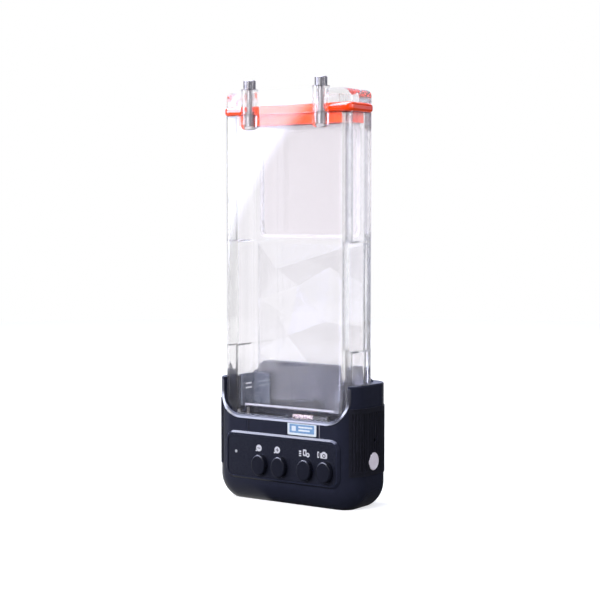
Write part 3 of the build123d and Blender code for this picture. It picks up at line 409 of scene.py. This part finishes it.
# Plain label on the name strip: blue field in a white border, with a block and bars
STRIP_Y = -18.0
BORDER_THICK, FIELD_THICK, INK = 0.12, 0.04, 0.03
FIELD_Y = STRIP_Y - BORDER_THICK
INK_Y = FIELD_Y - FIELD_THICK
BAR_LEFT, BAR_TALL, BAR_ROUND = 12.2, 1.0, 0.3
printed("label_border", [round_box(4.2, 43.5, 25.2, 51.3, 0.8)], STRIP_Y, BORDER_THICK,
        label_white, "case")
printed("label_field", [round_box(5.7, 44.8, 23.7, 50.0, 0.5)], FIELD_Y, FIELD_THICK,
        label_blue, "case")
printed("label_block", [round_box(7.3, 45.9, 10.3, 48.9, 0.4)], INK_Y, INK, label_white,
        "case")
for index, (length, low) in enumerate(((10.2, 47.9), (8.4, 46.0))):
    printed(f"label_bar_{index}",
            [round_box(BAR_LEFT, low, BAR_LEFT + length, low + BAR_TALL, BAR_ROUND)], INK_Y,
            INK, label_white, "case")

# Seams near both ends of the name strip: the left one dark, the right one grey, a painted
# highlight of its chamfer
SEAM_LOW, SEAM_HIGH, SEAM_ROUND = 43.2, 51.6, 0.2
printed("seam_left", [round_box(-25.3, SEAM_LOW, -24.7, SEAM_HIGH, SEAM_ROUND)], STRIP_Y, INK,
        seal_black, "case")
printed("seam_right_highlight", [round_box(27.0, SEAM_LOW, 27.7, SEAM_HIGH, SEAM_ROUND)], STRIP_Y, INK,
        seam_highlight_grey, "case")


def lofted(name, sections, material, body):
    """Closed solid through sections of as many points each, in millimetres."""
    size = len(sections[0])
    last = (len(sections) - 1) * size
    faces = [(low + c, low + size + c, low + size + (c + 1) % size, low + (c + 1) % size)
             for low in range(0, last, size) for c in range(size)]
    faces += [tuple(range(size)), tuple(reversed(range(last, last + size)))]
    mesh = bpy.data.meshes.new(name)
    mesh.from_pydata([Vector(p) * MM for section in sections for p in section], [], faces)
    mesh.update()
    return add_piece(name, mesh, material, body)


# Slanted bead round the U-shaped lip, which catches the light, in a grey lighter than the shell
# that paints on more highlight. Its profile is points (distance out from the lip's edge, height
# over the base's front).
LIP_HALF, LIP_LOW, LIP_TOP, LIP_R = 45.5, 53.0, 73.2, 14.0
LIP_RISERS, LIP_RISER, LIP_STEP = 6, 1.2, 5
FRONT_Y, CORNER_R, CORNER_X, CORNER_END = -18.0, 13.0, 39.7, 0.5
BEAD = ((0.12, -0.60), (0.35, -0.25), (2.10, 0.62), (2.45, 0.30), (2.50, -0.40))
BEAD_SOFT = 0.12 * MM


def front_depth(x):
    """Y of the base's front at one place across, with its round corners."""
    past = min(max(abs(x) - CORNER_X, 0), CORNER_R - CORNER_END)
    return FRONT_Y + CORNER_R - math.sqrt(CORNER_R ** 2 - past ** 2)


line = [(-LIP_HALF, LIP_TOP - i * LIP_RISER, -1, 0) for i in range(LIP_RISERS)]
line += [(-LIP_HALF + LIP_R * (1 - math.cos(t)), LIP_LOW + LIP_R * (1 - math.sin(t)),
          -math.cos(t), -math.sin(t)) for t in map(math.radians, range(0, 91, LIP_STEP))]
line += [(-x, z, -nx, nz) for x, z, nx, nz in reversed(line)]
lip_bead = lofted("lip_bead", [
    [(x + nx * out, front_depth(x + nx * out) - proud, z + nz * out) for out, proud in BEAD]
    for x, z, nx, nz in line], lip_highlight_grey, "case")
softened = lip_bead.modifiers.new("softened", "BEVEL")
softened.width = BEAD_SOFT
softened.segments = 2

# Pale bead where the housing's floor meets its front wall: a painted highlight of that edge
EDGE_HALF, EDGE_Y, EDGE_Z, EDGE_R, EDGE_STEP = 33.0, -9.5, 58.0, 1.1, 15
edge_profile = [(EDGE_Y, EDGE_Z)] + [
    (EDGE_Y + EDGE_R * (1 - math.sin(t)), EDGE_Z + EDGE_R * (1 - math.cos(t)))
    for t in map(math.radians, range(0, 91, EDGE_STEP))]
lofted("floor_highlight_bead", [[(x, y, z) for y, z in edge_profile] for x in (EDGE_HALF, -EDGE_HALF)],
       edge_highlight_pale, "case")

# The studio, as matt surfaces, gloss and the clear walls see it. Azimuths and rises are in
# degrees, spans are cosines of angles between which a level changes, and levels of 1 are white.
AMBIENT = 0.42
GLOSS_TINT = (0.86, 0.91, 1.18)

# In gloss: a dim room in front, the backdrop, a ring-shaped wash of light at the upper left of
# the case's front, an overhead light and two upright panels, each given by its azimuth, half
# its width, and its lowest and highest rise
ROOM_LEVEL, BACKDROP_LEVEL, BACKDROP_SPAN = 0.04, 0.95, (0.50, 0.85)
WASH_LEVEL, WASH_CENTRE_PX, WASH_INNER, WASH_OUTER = 14.0, (612, 374), (15.0, 15.8), (40, 36)
WASH_RISE, WASH_SIDE, WASH_SIDE_SPAN = (-0.045, -0.015), -90, (0.3, 0.4)
RIGHT_PANEL, RIGHT_LEVEL = (70, 23, 2, 40), 1.2
STRIP_PANEL, STRIP_LEVEL = (133, 18, -20, 30), 0.9
PANEL_SOFT = math.radians(3.0)
TOP_SIDE, TOP_SPAN, TOP_LEVEL = Vector((-0.3, -0.1, 0.95)), (0.72, 0.86), 25.0

# Through the clear walls: a white front and back with a dark ring between them, a little less
# white to the right and higher up, and the dim room and lit strip that the walls mirror inside
THROUGH_FRONT, FRONT_SPAN = 0.96, (-0.985, -0.96)
THROUGH_ROOM, ROOM_SPAN = 0.25, (-0.90, -0.86)
THROUGH_LEFT, THROUGH_SIDE, SIDE_SPAN = 1.03, 0.92, (-0.14, 0.16)
THROUGH_UP, UP_SPAN = 0.905, (-0.25, 0.12)
AHEAD, AHEAD_SPAN, ROOM_AHEAD, AHEAD_TINT = -35, (0.90, 0.96), 0.35, (0.88, 0.93, 1.22)
GLINT, GLINT_SPAN, GLINT_LEVEL, FLOOR_GLINT = -23, (0.990, 0.997), 3.2, 7.0

# Floor: its levels for the camera, for other matt surfaces and in gloss, where it is dim but for
# a card at the left and the far side
FLOOR_R, FLOOR_SIDES = 1.6, 64
FLOOR_PALE, FLOOR_DIM = (0.8, 0.8, 0.8), (0.35, 0.35, 0.35)
FLOOR_GLOW, FLOOR_MIRRORED = 0.62, 0.08
CARD_SIDE, CARD_SPAN, FLOOR_CARD = Vector((-0.978, -0.208, 0)), (0.78, 0.90), 0.9
BEYOND, BEYOND_SPAN, FLOOR_BEYOND = -145, (0.60, 0.90), 0.8


def front_room(graph, direction):
    """Dim room that the flat walls mirror, and a lit strip that only slanted facets mirror."""
    return (graph.ramp(graph.dot(direction, compass(AHEAD)), *AHEAD_SPAN, 0, 1),
            graph.ramp(graph.dot(direction, compass(GLINT)), *GLINT_SPAN, 0, 1))


# Floor, white to the camera and through glass, with the case's own soft shadow
floor_mesh = bpy.data.meshes.new("floor")
rim = [(FLOOR_R * math.cos(math.tau * i / FLOOR_SIDES),
        FLOOR_R * math.sin(math.tau * i / FLOOR_SIDES), 0) for i in range(FLOOR_SIDES)]
floor_mesh.from_pydata(rim, [], [tuple(range(FLOOR_SIDES))])
floor = bpy.data.objects.new("floor", floor_mesh)
scene.collection.objects.link(floor)
floor_white = bpy.data.materials.new("floor_white")
graph = Graph(floor_white)
rays = graph.add("ShaderNodeLightPath").outputs
mirrored = graph.math("MULTIPLY", rays["Is Glossy Ray"],
                      graph.math("SUBTRACT", 1.0, rays["Is Transmission Ray"]))
background_ray = graph.math("MAXIMUM", rays["Is Camera Ray"], rays["Is Transmission Ray"])
outward = graph.add("ShaderNodeVectorMath", {0: graph.place()},
                    operation="NORMALIZE").outputs["Vector"]
ahead, glint = front_room(graph, outward)
lit = graph.add("ShaderNodeBsdfDiffuse", {
    "Color": graph.blend(rays["Is Camera Ray"], FLOOR_DIM, FLOOR_PALE)})
shown = graph.add("ShaderNodeAddShader", {
    0: lit.outputs[0], 1: graph.glow(graph.math("MULTIPLY", background_ray, FLOOR_GLOW))})
card = graph.ramp(graph.dot(outward, CARD_SIDE), *CARD_SPAN, 0, FLOOR_CARD)
beyond = graph.ramp(graph.dot(outward, compass(BEYOND)), *BEYOND_SPAN, 0, FLOOR_BEYOND)
in_gloss = graph.glow(graph.math("ADD", beyond, graph.math("ADD", card, FLOOR_MIRRORED)))
behind_glass = graph.glow(
    graph.math("ADD", graph.ramp(ahead, 0, 1, 1.0, ROOM_AHEAD, smooth=False),
               graph.math("MULTIPLY", glint, FLOOR_GLINT)),
    graph.blend(ahead, WHITE, AHEAD_TINT))
first_seen = graph.add("ShaderNodeMixShader", {"Fac": mirrored, 1: shown.outputs[0],
                                               2: in_gloss})
floor_seen = graph.add("ShaderNodeMixShader", {"Fac": rays["Is Transmission Ray"],
                                               1: first_seen.outputs[0], 2: behind_glass})
graph.add("ShaderNodeOutputMaterial", {"Surface": floor_seen.outputs[0]})
floor_mesh.materials.append(floor_white)


def panel(graph, direction, azimuth, half_width, low, high):
    """Upright light panel of the studio: 1 inside its span of azimuths and rises, 0 outside."""
    along = graph.dot(direction, compass(azimuth))
    across = graph.math("ABSOLUTE", graph.dot(direction, compass(azimuth + 90)))
    half = PANEL_SOFT / 2
    span = graph.math("SUBTRACT",
                      graph.math("MULTIPLY", along, math.tan(math.radians(half_width))), across)
    rise = graph.dot(direction, UP)
    bottom, top = math.sin(math.radians(low)), math.sin(math.radians(high))
    return graph.math("MULTIPLY", graph.ramp(span, -half, half, 0, 1), graph.math(
        "MULTIPLY", graph.ramp(rise, bottom - half, bottom + half, 0, 1),
        graph.ramp(rise, top - half, top + half, 1, 0)))


def cosines(degrees):
    """Span of cosines between two angles from a direction."""
    return [math.cos(math.radians(a)) for a in degrees]


# World: white behind the case, a dim room in front, and light panels that only gloss shows
world = bpy.data.worlds.new("studio")
scene.world = world
graph = Graph(world)
rays = graph.add("ShaderNodeLightPath").outputs
direction = graph.add("ShaderNodeTexCoord").outputs["Generated"]
behind = graph.dot(direction, AWAY)
rise = graph.dot(direction, UP)
from_centre = graph.dot(direction, seen_in_front(*WASH_CENTRE_PX))
wash = graph.ramp(from_centre, *cosines(WASH_INNER), 0, 1)
for share in (graph.ramp(from_centre, *cosines(WASH_OUTER), 0, 1),
              graph.ramp(rise, *WASH_RISE, 0, 1),
              graph.ramp(graph.dot(direction, compass(WASH_SIDE)), *WASH_SIDE_SPAN, 0, 1)):
    wash = graph.math("MULTIPLY", wash, share)
glossy = graph.ramp(behind, *BACKDROP_SPAN, ROOM_LEVEL, BACKDROP_LEVEL)
for light, level in ((wash, WASH_LEVEL),
                     (panel(graph, direction, *RIGHT_PANEL), RIGHT_LEVEL),
                     (panel(graph, direction, *STRIP_PANEL), STRIP_LEVEL),
                     (graph.ramp(graph.dot(direction, TOP_SIDE), *TOP_SPAN, 0, 1), TOP_LEVEL)):
    glossy = graph.math("ADD", glossy, graph.math("MULTIPLY", light, level))
ahead, glint = front_room(graph, direction)
through = graph.math("ADD", graph.ramp(behind, *FRONT_SPAN, THROUGH_FRONT, THROUGH_ROOM),
                     graph.ramp(behind, *ROOM_SPAN, 0.0, 1.0 - THROUGH_ROOM))
for share in (graph.ramp(graph.dot(direction, RIGHTWARD), *SIDE_SPAN, THROUGH_LEFT,
                         THROUGH_SIDE, smooth=False),
              graph.ramp(rise, *UP_SPAN, 1.0, THROUGH_UP, smooth=False),
              graph.ramp(ahead, 0, 1, 1.0, ROOM_AHEAD, smooth=False)):
    through = graph.math("MULTIPLY", through, share)
through = graph.math("ADD", through, graph.math("MULTIPLY", glint, GLINT_LEVEL))
strength = graph.choose(rays["Is Camera Ray"], 1.0, graph.choose(
    rays["Is Transmission Ray"], through,
    graph.choose(rays["Is Glossy Ray"], glossy, AMBIENT)))
tint = graph.blend(graph.math("MAXIMUM", rays["Is Camera Ray"], rays["Is Transmission Ray"]),
                   GLOSS_TINT, WHITE)
background = graph.add("ShaderNodeBackground", {"Color": tint, "Strength": strength})
graph.add("ShaderNodeOutputWorld", {"Surface": background.outputs[0]})

# Lamps: place, height on the case's axis that each points at, width, height and watts
LAMPS = {"key_light": ((-0.62, -0.03, 0.87), 0.06, 0.40, 0.40, 7),
         "fill_light": ((-0.05, -1.15, 0.60), 0.12, 0.6, 0.5, 13),
         "side_light": ((1.10, 0.10, 0.50), 0.10, 0.4, 0.4, 2.8)}
for name, (place, aim, width, height, power) in LAMPS.items():
    data = bpy.data.lights.new(name, "AREA")
    data.shape = "RECTANGLE"
    data.size = width
    data.size_y = height
    data.energy = power
    lamp = bpy.data.objects.new(name, data)
    lamp.location = place
    lamp.rotation_euler = (UP * aim - Vector(place)).to_track_quat("-Z", "Y").to_euler()
    scene.collection.objects.link(lamp)
